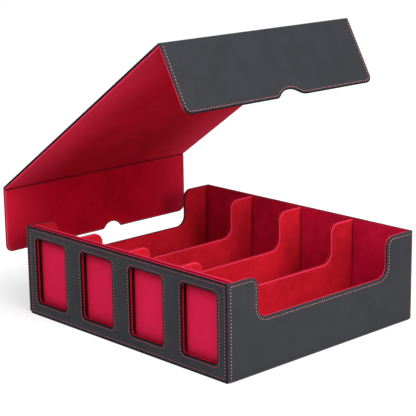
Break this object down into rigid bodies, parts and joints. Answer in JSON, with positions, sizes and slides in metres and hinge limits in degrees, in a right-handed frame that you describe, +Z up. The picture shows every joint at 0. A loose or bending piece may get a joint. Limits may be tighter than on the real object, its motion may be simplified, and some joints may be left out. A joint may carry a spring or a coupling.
{
  "type": "card storage box",
  "caption": "Leather covered card storage tray with display windows in its front, fixed dividers, low cut sides and a lift-off lid that folds over both sides.",
  "frame": {"origin": "middle of the tray's flat underside", "axes": "+Z up; the windowed front faces -Y; +X runs to the right along the windowed front"},
  "size_m": [0.3862, 0.292, 0.3409],
  "materials": {
    "leather": "satin",
    "lining": "matte",
    "board": "matte",
    "magnet": "satin"
  },
  "bodies": {
    "tray": {"bottom_leather": "leather", "floor_board": "board", "floor_lining": "lining", "front_leather": "leather", "front_frame_board": "board", "front_frame_lining": "lining", "display_felt": "lining", "slot_backer_board": "board", "slot_backer_lining": "lining", "slot_spacer_1": "lining", "slot_spacer_2": "lining", "slot_spacer_3": "lining", "left_wall_leather": "leather", "left_wall_board": "board", "left_wall_lining": "lining", "left_wall_magnet_front": "magnet", "left_wall_magnet_rear": "magnet", "right_wall_leather": "leather", "right_wall_board": "board", "right_wall_lining": "lining", "right_wall_magnet_front": "magnet", "right_wall_magnet_rear": "magnet", "back_wall_leather": "leather", "back_wall_board": "board", "back_wall_lining": "lining", "divider_1_cover": "lining", "divider_1_board": "board", "divider_2_cover": "lining", "divider_2_board": "board", "divider_3_cover": "lining", "divider_3_board": "board"},
    "left_flap": {"left_flap_leather": "leather", "left_flap_board": "board", "left_flap_lining": "lining", "left_flap_magnet_front": "magnet", "left_flap_magnet_rear": "magnet"},
    "left_crease": {"left_crease": "leather"},
    "panel": {"panel_leather": "leather", "panel_board": "board", "panel_lining": "lining"},
    "right_crease": {"right_crease": "leather"},
    "right_flap": {"right_flap_leather": "leather", "right_flap_board": "board", "right_flap_lining": "lining", "right_flap_magnet_front": "magnet", "right_flap_magnet_rear": "magnet"}
  },
  "joints": [
    {"name": "lid_lift", "type": "slide", "parent": "tray", "child": "left_flap", "axis": [0.771, 0, -0.6369], "range_m": [0, 0.0537]},
    {"name": "left_crease_turn", "type": "hinge", "parent": "left_flap", "child": "left_crease", "pos_m": [-0.2143, 0, 0.1426], "axis": [0, 1, 0], "range_deg": [0, 17.4]},
    {"name": "panel_fold", "type": "hinge", "parent": "left_crease", "child": "panel", "pos_m": [-0.2143, 0, 0.1426], "axis": [0, 1, 0], "range_deg": [-55.4, 17.3]},
    {"name": "right_crease_turn", "type": "hinge", "parent": "panel", "child": "right_crease", "pos_m": [0.07034, 0, 0.33896], "axis": [0, 1, 0], "range_deg": [-5.5, 0]},
    {"name": "right_flap_fold", "type": "hinge", "parent": "right_crease", "child": "right_flap", "pos_m": [0.07034, 0, 0.33896], "axis": [0, 1, 0], "range_deg": [-90, 0]}
  ],
  "couplings": [
    {"joint": "left_crease_turn", "follows": "lid_lift", "rad_per_m": 5.622},
    {"joint": "right_crease_turn", "follows": "lid_lift", "rad_per_m": -1.755}
  ]
}
